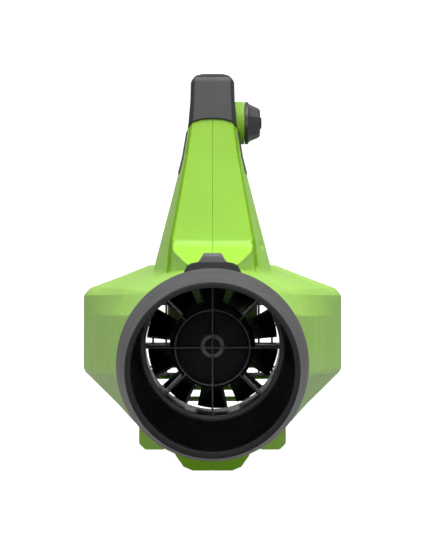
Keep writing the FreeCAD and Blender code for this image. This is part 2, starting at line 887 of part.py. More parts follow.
def housing():
    outer = shell_solid("housing_outer", "0", "front_y", "rear_y", "column_top", arched=True)
    inner = shell_solid("housing_inner", "wall", "front_y + wall", "rear_y + 1",
                        "cap_low - wall")
    shell = boolean("Cut", "housing_shell", outer, inner)
    bosses = [
        rod("screw_boss_%d" % i, "4.2", (str(-half_width), str(y), str(height)),
            str(2 * half_width), X)
        for i, (y, height, half_width) in enumerate(SCREWS)
    ]
    inside = boolean("Common", "boss_set", fused("bosses", bosses), outer)
    full = fused("housing_full", [shell, inside])
    cuts = [
        on_axis_rod("duct_hole", "duct_outer + 0.25", "front_y - 5", "wall + 8"),
        block("trigger_slot", ("-(trigger_half + 1)", "trigger_pivot_y - 10", "grip_core_low - 4"),
              ("trigger_half + 1", "trigger_pivot_y + 49", "grip_core_low + 6")),
        rod("dial_hole", "3.4", ("5", "dial_y", "dial_height"), "30", X),
    ]
    for i, (y, height, half_width) in enumerate(SCREWS):
        cuts.append(rod("screw_hole_%d" % i, "1.6", (str(-half_width + 5), str(y), str(height)),
                        str(2 * half_width), X))
        cuts.append(rod("head_hole_%d" % i, "3.4", (str(half_width - 6), str(y), str(height)),
                        "12", X))
    cut = boolean("Cut", "housing_cut", full, fused("housing_holes", cuts))
    right = block("right_half", ("-150", "-20", "-20"), ("0", "420", "360"))
    left = block("left_half", ("0", "-20", "-20"), ("150", "420", "360"))
    done(boolean("Common", "housing_left_half", cut, left), "housing_left")
    done(boolean("Common", "housing_right_half", cut, right), "housing_right")
    return outer


def on_axis_rod(name, radius, start_y, length):
    return rod(name, radius, ("0", start_y, "axis_height"), length, Y)


def housing_screws():
    screws = []
    for i, (y, height, half_width) in enumerate(SCREWS):
        head = rod("screw_head_%d" % i, "3", (str(half_width - 6), str(y), str(height)), "2.6", X)
        shank = rod("screw_shank_%d" % i, "1.6", (str(6 - half_width), str(y), str(height)),
                    str(2 * half_width - 12), X)
        screws.append(fused("screw_%d" % i, [head, shank]))
    group = doc.addObject("Part::Compound", "housing_screws")
    group.Links = screws
    doc.recompute()
    done(group)


# ---------------------------------------------------------------- handle and controls


def handle_grip(outer):
    """The soft cap over the grip: side, end and plan outlines crossed, less the housing's core."""
    side = side_block("grip_side", [
        ("115.8", "cap_low"),
        ("116.6", "cap_height - 7"),
        ("118.2", "cap_height - 3.4"),
        ("122", "cap_height - 0.8"),
        ("142", "cap_height"),
        ("294", "cap_height - 2"),
        ("322", "cap_height - 9"),
        ("336", "cap_height - 24"),
        ("333", "grip_core_low + 4"),
        ("150", "grip_core_low + 4"),
        ("144.8", "cap_low"),
    ], "24")
    end = body("grip_end")
    section = outline(end, "grip_end_outline", "XZ_Plane", mirrored_outline([
        ("0", "cap_height"),
        ("8", "cap_height - 0.7"),
        ("13.8", "cap_height - 2.4"),
        ("18", "cap_height - 7.4"),
        ("18.5", "cap_height - 24"),
        ("20.4", "cap_low"),
        ("0", "cap_low"),
    ]), "-350")
    padded(end, "grip_end_pad", section, "250")
    plan = body("grip_plan")
    lofted(plan, "grip_plan_loft", "XY_Plane", [
        (height, [
            ("-%s" % front, "115.8"),
            ("%s" % front, "115.8"),
            ("%s" % (front + 4.1), "121.5"),
            ("%s" % (front + 4.1), "322"),
            ("14", "340"),
            ("-14", "340"),
            ("-%s" % (front + 4.1), "322"),
            ("-%s" % (front + 4.1), "121.5"),
        ])
        for height, front in (("cap_low - 2", 16.5), ("cap_height + 2", 14))
    ])
    cap = boolean("Common", "grip_crossed", boolean("Common", "grip_block", side, end), plan)
    above = boolean("Common", "grip_front", cap, arch("grip_arch"))
    behind = boolean("Common", "grip_behind", cap,
                     block("grip_behind_box", ("-25", "144.9", "cap_low"), ("25", "345", "330")))
    whole = fused("grip_whole", [above, behind])
    done(boolean("Cut", "handle_grip", whole, outer))
    return whole


def grip_back(outer):
    """A thin soft skin on the back and sides of the post, under the cap."""
    skin = column("grip_back_column", "-0.6", "column_top")
    zone = block("grip_back_zone", ("-40", "136", "242"), ("40", "220", "cap_low - 1"))
    band = boolean("Common", "grip_back_band", skin, zone)
    done(boolean("Cut", "grip_back", band, outer))
    return band


def grip_underside():
    pad = side_block("grip_underside", [
        ("246", "grip_core_low - 3"),
        ("244", "grip_core_low"),
        ("290", "grip_core_low"),
        ("287", "grip_core_low - 3"),
    ], "13")
    done(pad)


def trigger():
    part = body("trigger")
    low = "grip_core_low"
    lever = outline(part, "lever_outline", "YZ_Plane", [
        ("trigger_pivot_y - 5.5", low + " + 13"),
        ("trigger_pivot_y + 6", low + " + 13"),
        ("trigger_pivot_y + 11", low + " + 5"),
        ("trigger_pivot_y + 42", low + " + 4"),
        ("trigger_pivot_y + 44.5", low + " - 3"),
        ("trigger_pivot_y + 37", low + " - 15"),
        ("trigger_pivot_y + 26", low + " - 20.5"),
        ("trigger_pivot_y + 14", low + " - 21.5"),
        ("trigger_pivot_y + 4", low + " - 14"),
        ("trigger_pivot_y - 5.5", low + " - 1"),
    ])
    padded(part, "lever", lever, "2 * trigger_half", both_ways=True)
    hole = rings(part, "pivot_circle", "YZ_Plane", ("trigger_pivot_y", "trigger_pivot_height"),
                 ["pin_radius + running_gap"])
    pocketed(part, "pivot_hole", hole, "3 * trigger_half", both_ways=True)
    done(part)


def trigger_pin():
    pin = rod("trigger_pin", "pin_radius",
              ("-(grip_core_half - wall)", "trigger_pivot_y", "trigger_pivot_height"),
              "2 * (grip_core_half - wall)", X)
    done(pin)


def trigger_spring():
    low = size("grip_core_low") + 5.2
    high = size("grip_core_top") - size("wall") - 1.2
    coil("trigger_spring", 3.2, 0.5, Vector(0, size("trigger_pivot_y") + 34, low + 0.6),
         high - low, 6)


def trigger_switch():
    case = block("switch_case", ("-5", "trigger_pivot_y + 9", "grip_core_top - wall - 11.5"),
                 ("5", "trigger_pivot_y + 25", "grip_core_top - wall"))
    plunger = rod("switch_plunger", "1.6",
                  ("0", "trigger_pivot_y + 17", "grip_core_top - wall - 13.5"), "2.5", Z)
    done(fused("trigger_switch", [case, plunger]))


def dial_boss(outer, cap, back):
    barrel = rod("boss_barrel", "dial_boss_radius", ("grip_core_half - 1", "dial_y", "dial_height"),
                 "dial_boss_end - grip_core_half + 1", X)
    bore = rod("boss_bore", "3.3", ("10", "dial_y", "dial_height"), "30", X)
    taken = fused("boss_taken", [outer, cap, back, bore])
    done(boolean("Cut", "dial_boss", barrel, taken))


def dial_solid(name, points):
    """A profile of (x, radius) points turned about the dial's own axis along X."""
    part = body(name)
    sketch = outline(part, name + "_profile", "XY_Plane", points)
    feature = part.newObject("PartDesign::Revolution", name + "_turned")
    feature.Profile = sketch
    feature.ReferenceAxis = (sketch, ["H_Axis"])
    feature.Angle = 360
    part.setExpression("Placement.Base.y", bound("dial_y"))
    part.setExpression("Placement.Base.z", bound("dial_height"))
    doc.recompute()
    done(part)


def speed_dial():
    face = "dial_boss_end + dial_gap"
    end = face + " + 12.9"
    dial_solid("speed_dial", [
        ("9.4", "0"),
        ("9.4", "3"),
        (face, "3"),
        (face, "dial_boss_radius - 0.1"),
        (face + " + 2.8", "dial_boss_radius - 0.1"),
        (face + " + 3.2", "dial_boss_radius - 1.4"),
        (face + " + 4.4", "dial_boss_radius - 2.6"),
        (face + " + 11.4", "12.4"),
        (end, "11.1"),
        (end, "0"),
    ])
    dial_solid("dial_cap", [
        (end, "0"),
        (end, "4.9"),
        (end + " + 0.9", "4.9"),
        (end + " + 1.3", "4.4"),
        (end + " + 1.3", "0"),
    ])


def dial_potentiometer():
    dial_solid("dial_potentiometer", [
        ("2", "0"),
        ("2", "8"),
        ("8.5", "8"),
        ("8.5", "4.6"),
        ("12.4", "4.6"),
        ("12.4", "3 + running_gap"),
        ("9", "3 + running_gap"),
        ("9", "0"),
    ])


# ---------------------------------------------------------------- rear intake and battery


def intake_outline(grow):
    """The U-shaped intake opening below and beside the battery bay, made larger by grow."""
    half = [
        ("0", "axis_height - 31 - %s" % grow),
        ("95 + %s * 0.4" % grow, "axis_height - 31 - %s" % grow),
        ("105 + %s" % grow, "axis_height - 21 - %s * 0.4" % grow),
        ("105 + %s" % grow, "axis_height + 35 + %s" % grow),
        ("99 + %s" % grow, "axis_height + 41 + %s" % grow),
        ("55 + %s" % grow, "axis_height + 59 + %s" % grow),
        ("bay_half + 0.3", "axis_height + 59 + %s" % grow),
        ("bay_half + 0.3", "bay_low - 0.3"),
        ("0", "bay_low - 0.3"),
    ]
    return mirrored_outline(half)


def slat_outline():
    return mirrored_outline([
        ("0", "axis_height - 36.6"),
        ("95", "axis_height - 36.6"),
        ("67", "axis_height - 65"),
        ("0", "axis_height - 65"),
    ])


def rear_cover():
    part = body("cover_plate")
    plate = outline(part, "plate_outline", "XZ_Plane",
                    wing_section("(wall + 0.3)", "body_top - 2", 56, (110.5, 46.5),
                                 ("wing_half - 2.5", 40), "wing_half - 2.5", -26, 70.5,
                                 "body_bottom + 2"), "-(rear_y - 2)")
    padded(part, "plate", plate, "4")
    opening = outline(part, "intake_window", "XZ_Plane", intake_outline("0"), "-(rear_y + 2)")
    pocketed(part, "intake_cut", opening, "12", reverse=True)
    slots = outline(part, "slat_window", "XZ_Plane", slat_outline(), "-(rear_y + 2)")
    pocketed(part, "slat_cut", slots, "12", reverse=True)
    notch = outline(part, "bay_notch", "XZ_Plane", mirrored_outline([
        ("0", "bay_low - 0.3"),
        ("bay_half + 0.3", "bay_low - 0.3"),
        ("bay_half + 0.3", "bay_top"),
        ("0", "bay_top"),
    ]), "-(rear_y + 2)")
    pocketed(part, "bay_cut", notch, "12", reverse=True)
    slats = [part]
    for i in range(2):
        low = "axis_height - 46.8 - 10.6 * %d" % i
        reach = str(88 - 10.4 * i)
        slats.append(block("slat_%d" % i, ("-" + reach, "rear_y - 6", low),
                           (reach, "rear_y - 2", low + " + 4.6")))
    done(fused("rear_cover", slats))


def intake_grille():
    field = body("grille_field")
    shape = outline(field, "field_outline", "XZ_Plane", intake_outline("2.4"), "-(rear_y - 6)")
    padded(field, "field_pad", shape, "3.6")
    inside = body("grille_inside")
    hole = outline(inside, "hole_outline", "XZ_Plane", intake_outline("-0.6"), "-(rear_y - 5)")
    padded(inside, "hole_pad", hole, "6")
    frame = boolean("Cut", "grille_frame", field, inside)
    bars = []
    for i in range(14):
        middle = -104.8 + 12.3 * i if i < 7 else 104.8 - 12.3 * (13 - i)
        bars.append(block("bar_%d" % i, ("%g - 1" % middle, "rear_y - 9.6", "axis_height - 33"),
                          ("%g + 1" % middle, "rear_y - 6", "axis_height + 66")))
    for i, height in enumerate((33.5, 14, -5.5, -25)):
        bars.append(block("rung_%d" % i, ("-110", "rear_y - 9", "axis_height + %g - 1" % height),
                          ("110", "rear_y - 6.6", "axis_height + %g + 1" % height)))
    grid = boolean("Common", "grille_grid", fused("grille_bars", bars), field)
    done(fused("intake_grille", [frame, grid]))


def bay_outline(inset):
    return mirrored_outline([
        ("0", "bay_top - " + inset),
        ("bay_half - 8 - %s * 0.5" % inset, "bay_top - " + inset),
        ("bay_half - " + inset, "bay_top - 8.8 - %s * 0.5" % inset),
        ("bay_half - " + inset, "bay_low + " + inset),
        ("0", "bay_low + " + inset),
    ])


def battery_bay():
    part = body("battery_bay")
    shell = outline(part, "bay_shell_outline", "XZ_Plane", bay_outline("0"), "-rear_y")
    padded(part, "bay_shell", shell, "rear_y - shoulder_y - 1")
    room = outline(part, "bay_room_outline", "XZ_Plane", bay_outline("bay_wall"), "-(rear_y + 1)")
    pocketed(part, "bay_room", room, "rear_y - shoulder_y - 1 - bay_wall + 1", reverse=True)
    done(part)


def battery_outline(inset, low, top):
    return mirrored_outline([
        ("0", top + " - " + inset),
        ("battery_half - 7 - %s * 0.5" % inset, top + " - " + inset),
        ("battery_half - " + inset, top + " - 8 - %s * 0.5" % inset),
        ("battery_half - " + inset, low),
        ("0", low),
    ])


def battery_pack():
    seam = "battery_low + 54"
    case = body("battery_case_block")
    tub = outline(case, "tub_outline", "XZ_Plane", mirrored_outline([
        ("0", seam),
        ("battery_half", seam),
        ("battery_half", "battery_low + 4"),
        ("battery_half - 4", "battery_low"),
        ("0", "battery_low"),
    ]), "-battery_rear_y")
    padded(case, "tub", tub, "battery_rear_y - battery_front_y")
    room = outline(case, "tub_room_outline", "XZ_Plane", mirrored_outline([
        ("0", seam + " + 1"),
        ("battery_half - battery_wall", seam + " + 1"),
        ("battery_half - battery_wall", "battery_low + battery_wall"),
        ("0", "battery_low + battery_wall"),
    ]), "-(battery_rear_y - battery_wall)")
    pocketed(case, "tub_room", room, "battery_rear_y - battery_front_y - 2 * battery_wall",
             reverse=True)
    slots = fused("contact_slots", [
        block("contact_slot_%d" % i, ("%d - 1.4" % x, "battery_front_y - 1", "battery_low + 14"),
              ("%d + 1.4" % x, "battery_front_y + 9", "battery_low + 34"))
        for i, x in enumerate(CONTACTS)
    ])
    done(boolean("Cut", "battery_case", case, slots))
    lid = body("battery_lid_block")
    top = outline(lid, "lid_outline", "XZ_Plane", battery_outline("0", seam, "battery_top"),
                  "-battery_rear_y")
    padded(lid, "lid", top, "battery_rear_y - battery_front_y")
    hollow = outline(lid, "lid_room_outline", "XZ_Plane",
                     battery_outline("battery_wall", seam + " - 1", "battery_top"),
                     "-(battery_rear_y - battery_wall)")
    pocketed(lid, "lid_room", hollow, "battery_rear_y - battery_front_y - 2 * battery_wall",
             reverse=True)
    opening = block("latch_opening", ("-14.4", "battery_rear_y - 62.4", "battery_top - 3"),
                    ("14.4", "battery_rear_y - 37.6", "battery_top + 3"))
    done(boolean("Cut", "battery_lid", lid, opening))


CONTACTS = (-18, 0, 18)


def battery_cells():
    cells = []
    for row in range(4):
        for column_number in range(5):
            place = ("-cell_length / 2", "battery_front_y + 32 + 20 * %d" % column_number,
                     "battery_low + 12 + 18.4 * %d" % row)
            cells.append(rod("cell_%d_%d" % (row, column_number), "cell_radius", place,
                             "cell_length", X))
    group = doc.addObject("Part::Compound", "battery_cells")
    group.Links = cells
    doc.recompute()
    done(group)


def battery_button():
    part = body("battery_button")
    rear = "battery_rear_y - 38"
    profile = outline(part, "latch_side", "YZ_Plane", [
        (rear + " - 24", "battery_top - 4.5"),
        (rear + " - 24", "battery_top + 1.2"),
        (rear + " - 18", "battery_top + 2.6"),
        (rear + " - 4", "battery_top + 2.6"),
        (rear, "battery_top + 1.2"),
        (rear, "battery_top - 4.5"),
    ])
    padded(part, "latch_block", profile, "28", both_ways=True)
    done(part)


def battery_button_spring():
    start = Vector(0, size("battery_rear_y") - 50, size("battery_top") - 10.6)
    coil("battery_button_spring", 3.2, 0.45, start, 5.4, 3)


def terminal_block():
    parts = [block("terminal_base", ("-26", "shoulder_y + 1 + bay_wall", "battery_low + 8"),
                   ("26", "battery_front_y - 2", "battery_low + 40"))]
    for i, x in enumerate(CONTACTS):
        parts.append(block("blade_%d" % i,
                           ("%d - 0.6" % x, "battery_front_y - 3", "battery_low + 16"),
                           ("%d + 0.6" % x, "battery_front_y + 8", "battery_low + 32")))
    done(fused("terminal_block", parts))


# ---------------------------------------------------------------- electronics


def control_board():
    board = block("board_plate", ("-22", "160", "166"), ("22", "222", "167.6"))
    plug = block("board_plug", ("-12", "161", "167.6"), ("12", "170", "174"))
    socket = block("board_socket", ("-12", "215", "167.6"), ("12", "222", "174"))
    done(fused("control_board", [board, plug, socket]))


def heat_sink():
    parts = [block("sink_plate", ("-18", "174", "167.8"), ("18", "212", "170.2"))]
    for i in range(7):
        x = -16.8 + 5.2 * i
        parts.append(block("fin_%d" % i, ("%g" % x, "174", "170"), ("%g + 2.2" % x, "212", "180")))
    done(fused("heat_sink", parts))


def wire(name, points, radius, bend):
    """A round wire through points, with an arc of the given radius at each corner."""
    edges = []
    start = points[0]
    for before, corner, after in zip(points, points[1:], points[2:]):
        back = (before - corner).normalize()
        ahead = (after - corner).normalize()
        half = back.getAngle(ahead) / 2
        leg = bend / math.tan(half)
        middle = (back + ahead).normalize()
        apex = corner + middle * (bend / math.sin(half) - bend)
        edges.append(Part.makeLine(start, corner + back * leg))
        edges.append(Part.Arc(corner + back * leg, apex, corner + ahead * leg).toShape())
        start = corner + ahead * leg
    edges.append(Part.makeLine(start, points[-1]))
    path = Part.Wire(edges)
    section = Part.Wire(Part.makeCircle(radius, points[0], points[1] - points[0]))
    made = doc.addObject("Part::Feature", name)
    made.Shape = path.makePipeShell([section], True, True)
    return made


def wiring():
    back = size("shoulder_y") + 1
    wires = [
        wire("battery_wire_%d" % i, [Vector(x, back, 171), Vector(x, 222, 171)], 1.9, 1)
        for i, x in enumerate((-7, 7))
    ]
    group = doc.addObject("Part::Compound", "battery_leads")
    group.Links = wires
    doc.recompute()
    done(group)
    leads = [
        wire("motor_wire_%d" % i,
             [Vector(x, 184, 166), Vector(x, 184, size("axis_height") + size("fan_duct_outer"))],
             1.5, 1)
        for i, x in enumerate((-5, 0, 5))
    ]
    group = doc.addObject("Part::Compound", "motor_leads")
    group.Links = leads
    doc.recompute()
    done(group)
    high = size("grip_core_top") - size("wall") - 6
    switch = [
        wire("switch_wire_%d" % i, [
            Vector(x, size("trigger_pivot_y") + 9, high),
            Vector(x, 166, high),
            Vector(x, 166, 174),
        ], 1, 10)
        for i, x in enumerate((-4.4, -1.6))
    ]
    group = doc.addObject("Part::Compound", "switch_leads")
    group.Links = switch
    doc.recompute()
    done(group)


# ---------------------------------------------------------------- the whole blower


def check_and_export():
    """Stops on any failed object, then writes each node's STEP file."""
    doc.recompute()
    for thing in doc.Objects:
        if "Invalid" in thing.State or "Error" in thing.State:
            raise RuntimeError("%s failed: %s" % (thing.Name, thing.State))
    os.makedirs("parts", exist_ok=True)
    for node in nodes:
        if node.Shape.isNull() or not node.Shape.isValid():
            raise RuntimeError("%s has no valid shape" % node.Label)
        node.Shape.exportStep("parts/%s.step" % node.Label)
        print(node.Label, round(node.Shape.Volume), len(node.Shape.Solids))


nozzle()
blower_tube()
tube_collar()
tube_button()
button_spring()
tube_seal()
fan_duct()
outlet_guard()
motor_nose()
motor_can()
motor_stator()
motor_windings()
end_plate("motor_front_plate", "can_front_y - 7")
end_plate("motor_rear_plate", "can_rear_y")
bearing("front_bearing", "can_front_y - 7")
bearing("rear_bearing", "can_rear_y")
motor_rotor()
motor_shaft()
motor_screws()
fan_impeller()
fan_nut()
housing_solid = housing()
housing_screws()
cap_solid = handle_grip(housing_solid)
back_solid = grip_back(housing_solid)
grip_underside()
trigger()
trigger_pin()
trigger_spring()
trigger_switch()
dial_boss(housing_solid, cap_solid, back_solid)
speed_dial()
dial_potentiometer()
rear_cover()
intake_grille()
battery_bay()
battery_pack()
battery_cells()
battery_button()
battery_button_spring()
terminal_block()
control_board()
heat_sink()
wiring()
check_and_export()
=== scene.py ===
import json
import math
from collections import namedtuple

import bmesh
import bpy
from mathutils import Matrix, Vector
from mathutils.bvhtree import BVHTree


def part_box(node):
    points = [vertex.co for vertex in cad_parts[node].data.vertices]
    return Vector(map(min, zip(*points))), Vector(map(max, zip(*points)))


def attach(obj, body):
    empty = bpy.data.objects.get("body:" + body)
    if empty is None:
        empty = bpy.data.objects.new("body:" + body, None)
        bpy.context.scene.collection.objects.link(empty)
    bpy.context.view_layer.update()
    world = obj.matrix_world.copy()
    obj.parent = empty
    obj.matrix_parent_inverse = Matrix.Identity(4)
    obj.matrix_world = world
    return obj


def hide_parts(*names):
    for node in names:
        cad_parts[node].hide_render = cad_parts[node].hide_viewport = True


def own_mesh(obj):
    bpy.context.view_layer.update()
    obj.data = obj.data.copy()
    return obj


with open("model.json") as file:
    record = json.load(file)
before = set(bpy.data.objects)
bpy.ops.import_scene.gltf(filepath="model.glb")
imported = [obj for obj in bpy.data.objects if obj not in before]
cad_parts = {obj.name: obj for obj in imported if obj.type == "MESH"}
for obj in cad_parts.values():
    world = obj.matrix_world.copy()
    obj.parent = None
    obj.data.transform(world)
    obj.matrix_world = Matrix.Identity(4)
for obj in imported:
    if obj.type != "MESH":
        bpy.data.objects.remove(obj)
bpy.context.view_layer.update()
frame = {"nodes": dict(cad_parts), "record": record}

# A battery leaf blower seen along its blow tube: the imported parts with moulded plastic, rubber and
# metal finishes, and detailed pieces for what shows most. Metres, +Z up, nozzle towards -Y.

SCENE = bpy.context.scene
NODES = frame["nodes"]
BODY_OF = {node: body for body, nodes in frame["record"]["behaviour"]["bodies"].items()
           for node in nodes}
SLOT_OF = {part["node"]: part["material_slot"] for part in frame["record"]["subparts"]}


# ---------------------------------------------------------------- materials


NOISE_LOW, NOISE_HIGH = 0.3, 0.7  # nearly all of a noise texture's values lie between these
NOISE_ROUGHNESS = 0.6
EDGE_RADIUS, EDGE_SAMPLES = 0.0006, 4  # how a shader softens the edges that stay hard
MOTTLE = 0.06  # how far moulded plastic strays from its colour
ROUGHNESS_SPREAD = 0.05
GRAIN_STRENGTH = 0.35
SCRATCH_SCALE = (900, 60, 900)

Band = namedtuple("Band", "axis edges centre colour roughness")


def srgb(red, green, blue):
    """A colour as displayed, 0 to 255 a channel, as the linear colour that a shader takes."""
    def linear(value):
        value = value / 255
        return value / 12.92 if value <= 0.04045 else ((value + 0.055) / 1.055) ** 2.4
    return (linear(red), linear(green), linear(blue), 1)


def shaded(colour, amount):
    """The colour made darker or lighter by a factor."""
    return tuple(channel * amount for channel in colour[:3]) + (1,)


class Graph:
    """A material's node tree, with short calls that add and link nodes."""

    def __init__(self, name):
        self.material = bpy.data.materials.new(name)
        self.material.use_nodes = True
        self.tree = self.material.node_tree
        self.shader = self.tree.nodes["Principled BSDF"]
        self.place = self.node("TexCoord").outputs["Object"]

    def node(self, kind, inputs=None, **settings):
        """A new node. Each input is a socket to link or a value to set."""
        made = self.tree.nodes.new("ShaderNode" + kind)
        for key, value in settings.items():
            setattr(made, key, value)
        for key, value in (inputs or {}).items():
            if isinstance(value, bpy.types.NodeSocket):
                self.tree.links.new(value, made.inputs[key])
            else:
                made.inputs[key].default_value = value
        return made

    def noise(self, scale, detail=3.0, place=None):
        inputs = {"Vector": place or self.place, "Scale": scale, "Detail": detail,
                  "Roughness": NOISE_ROUGHNESS}
        return self.node("TexNoise", inputs).outputs["Fac"]

    def remap(self, noise, low, high):
        """Noise stretched to run from low to high."""
        inputs = {"Value": noise, "From Min": NOISE_LOW, "From Max": NOISE_HIGH,
                  "To Min": low, "To Max": high}
        return self.node("MapRange", inputs).outputs["Result"]

    def blend_colours(self, factor, first, second):
        return self.node("Mix", {0: factor, 6: first, 7: second}, data_type="RGBA").outputs[2]

    def blend_values(self, factor, first, second):
        return self.node("Mix", {0: factor, 2: first, 3: second}).outputs[0]

    def inside(self, band):
        """1 where a coordinate, or the distance from a line along Y, is between a band's edges."""
        offset = self.node("VectorMath", {0: self.place, 1: band.centre}, operation="SUBTRACT")
        if band.axis == "RADIUS":
            flat = self.node("VectorMath", {0: offset.outputs[0], 1: (1, 0, 1)},
                             operation="MULTIPLY")
            length = self.node("VectorMath", {0: flat.outputs[0]}, operation="LENGTH")
            reading = length.outputs["Value"]
        else:
            reading = self.node("SeparateXYZ", {0: offset.outputs[0]}).outputs[band.axis]
        low, high = band.edges
        inputs = {0: reading, 1: (low + high) / 2, 2: (high - low) / 2}
        return self.node("Math", inputs, operation="COMPARE").outputs[0]

    def wire(self, socket, value):
        self.tree.links.new(value, self.shader.inputs[socket])

    def set(self, **values):
        for key, value in values.items():
            self.shader.inputs[key.replace("_", " ")].default_value = value


def moulded(name, colour, roughness, grain=0.00012, grain_scale=2600, specular=0.5, band=None):
    """Moulded plastic or rubber: a fine grain, faint flow mottling, softened edges.

    A band has a colour and a roughness of its own. The bands here are painted: a painted shade on
    the nozzle's lip and a painted highlight on the motor nose's ring."""
    graph = Graph(name)
    mottle = graph.remap(graph.noise(18, 4), 0, 1)
    base = graph.blend_colours(mottle, shaded(colour, 1 - MOTTLE), shaded(colour, 1 + MOTTLE))
    polish = graph.remap(graph.noise(55, 5), roughness - ROUGHNESS_SPREAD,
                         roughness + ROUGHNESS_SPREAD)
    if band:
        inside = graph.inside(band)
        base = graph.blend_colours(inside, base, band.colour)
        polish = graph.blend_values(inside, polish, band.roughness)
    graph.wire("Base Color", base)
    graph.wire("Roughness", polish)
    edges = graph.node("Bevel", {"Radius": EDGE_RADIUS}, samples=EDGE_SAMPLES).outputs["Normal"]
    inputs = {"Height": graph.noise(grain_scale, 2), "Strength": GRAIN_STRENGTH,
              "Distance": grain, "Normal": edges}
    graph.wire("Normal", graph.node("Bump", inputs).outputs["Normal"])
    graph.set(Specular_IOR_Level=specular)
    return graph.material


def machined(name, colour, roughness):
    """Turned or pressed metal with fine scratches."""
    graph = Graph(name)
    stretched = graph.node("Mapping", {"Vector": graph.place, "Scale": SCRATCH_SCALE})
    scratches = graph.noise(1, 3, place=stretched.outputs["Vector"])
    stains = graph.remap(graph.noise(40), 0, 1)
    graph.wire("Base Color",
               graph.blend_colours(stains, shaded(colour, 0.85), shaded(colour, 1.1)))
    graph.wire("Roughness", graph.remap(scratches, roughness - 0.08, roughness + 0.1))
    graph.set(Metallic=1.0)
    return graph.material


GREEN = moulded("green_plastic", srgb(147, 200, 58), 0.42, specular=0.4)
# Painted shade: a darker green for the post's chamfer bands and the pad under the neck, standing for
# the shade they show; the real plastic is the same green.
PAINTED_SHADE_GREEN = moulded("green_painted_shade", srgb(116, 170, 24), 0.55, specular=0.15)
# Painted shade: the dial boss is a darker green that stands for the shade it sits in; the real boss
# is the same green as the housing.
BOSS_PAINTED_SHADE_GREEN = moulded("green_boss_painted_shade", srgb(120, 168, 42), 0.5, specular=0.3)
DARK = moulded("dark_plastic", srgb(56, 56, 58), 0.46)
BUTTON = moulded("button_plastic", srgb(86, 86, 87), 0.5)
COLLAR = moulded("collar_plastic", srgb(36, 36, 37), 0.5, specular=0.3)
BLACK = moulded("black_plastic", srgb(20, 20, 21), 0.2)
FAN_BLACK = moulded("fan_plastic", srgb(20, 20, 21), 0.25)
SOFT = moulded("soft_grip_rubber", srgb(68, 68, 69), 0.6, grain=0.0002, grain_scale=1500)
# Partly a darker, coarser rubber and partly painted shade: it darkens the grip's sides and top, and
# paints a gap shadow along its lower lip.
SOFT_SIDE_AND_PAINTED_SHADE = moulded("soft_grip_side_and_painted_shade", srgb(36, 36, 37), 0.72, grain=0.0003, grain_scale=1100)
SEAL = moulded("seal_rubber", srgb(30, 30, 30), 0.7)
DIAL = moulded("dial_plastic", srgb(34, 34, 36), 0.42)
PACK = moulded("battery_plastic", srgb(36, 36, 38), 0.45)
STEEL = machined("steel", srgb(190, 190, 194), 0.3)
ALLOY = machined("aluminium", srgb(205, 206, 210), 0.38)
WRAP = moulded("cell_wrap", srgb(60, 120, 170), 0.3)
COPPER = machined("copper", srgb(200, 120, 70), 0.35)
BOARD = moulded("board_green", srgb(30, 90, 50), 0.4)
GUARD = moulded("guard_plastic", srgb(16, 16, 17), 0.35, specular=0.3)

AXIS = Vector((0, 0, (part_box("nozzle")[0].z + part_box("nozzle")[1].z) / 2))
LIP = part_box("nozzle")[0].y
# Painted shade: a dark, rough band on the nozzle's lip face, standing for the shade that face shows;
# the lip is the nozzle's own plastic.
LIP_PAINTED_SHADE = Band("Y", (LIP - 0.001, LIP + 0.005), (0, 0, 0), srgb(24, 24, 25), 0.9)
# Painted highlight: a light grey ring on the motor nose's boss, standing for its lit face against
# the shaded bore.
NOSE_RING_PAINTED_HIGHLIGHT = Band("RADIUS", (0.0064, 0.0098), AXIS, srgb(170, 170, 171), 0.8)
NOZZLE = moulded("nozzle_plastic", srgb(53, 53, 55), 0.55, specular=0.3, band=LIP_PAINTED_SHADE)
NOSE = moulded("nose_plastic", srgb(64, 64, 65), 0.8, specular=0.1, band=NOSE_RING_PAINTED_HIGHLIGHT)

SLOT_LOOKS = {
    "green_shell": GREEN,
    "dark_tube": DARK,
    "dark_button": BUTTON,
    "black_duct": BLACK,
    "black_fan": FAN_BLACK,
    "soft_grip": SOFT,
    "seal_rubber": SEAL,
    "dial_plastic": DIAL,
    "dial_cap": DIAL,
    "battery_plastic": PACK,
    "steel": STEEL,
    "aluminium": ALLOY,
    "cell_wrap": WRAP,
    "copper": COPPER,
    "electronics": BOARD,
}

# dial_boss gets a painted-shade green, the nozzle's finish carries a painted shade band on its lip,
# and motor_nose's finish carries a painted highlight ring.
NODE_LOOKS = {
    "nozzle": NOZZLE,
    "motor_nose": NOSE,
    "tube_collar": COLLAR,
    "dial_boss": BOSS_PAINTED_SHADE_GREEN,
    "outlet_guard": GUARD,
}


def look_of(node):
    """A node's own finish if it has one, or else its slot's."""
    return NODE_LOOKS.get(node, SLOT_LOOKS[SLOT_OF[node]])


def dress_nodes():
    """Gives every CAD node its finish."""
    for name, node in NODES.items():
        node.data.materials.clear()
        node.data.materials.append(look_of(name))


# ---------------------------------------------------------------- moulded shapes


WELD_DISTANCE, SLIVER_LENGTH = 1e-6, 2e-5
FLAT_ANGLE = math.radians(0.6)  # faces that turn by less than this are one flat face


def linked(name, data):
    """A new object that shows the mesh, light or camera it is given."""
    made = bpy.data.objects.new(name, data)
    SCENE.collection.objects.link(made)
    return made


def skin_of(node):
    """An editable copy of a CAD node's mesh, with the copies of each point joined."""
    skin = bmesh.new()
    skin.from_mesh(NODES[node].data)
    bmesh.ops.remove_doubles(skin, verts=skin.verts, dist=WELD_DISTANCE)
    return skin


def welded(node):
    """A CAD node as one closed skin, with its flat faces whole."""
    skin = skin_of(node)
    bmesh.ops.dissolve_limit(skin, angle_limit=FLAT_ANGLE, verts=skin.verts, edges=skin.edges)
    bmesh.ops.dissolve_degenerate(skin, dist=SLIVER_LENGTH, edges=skin.edges)
    skin.normal_update()
    return skin


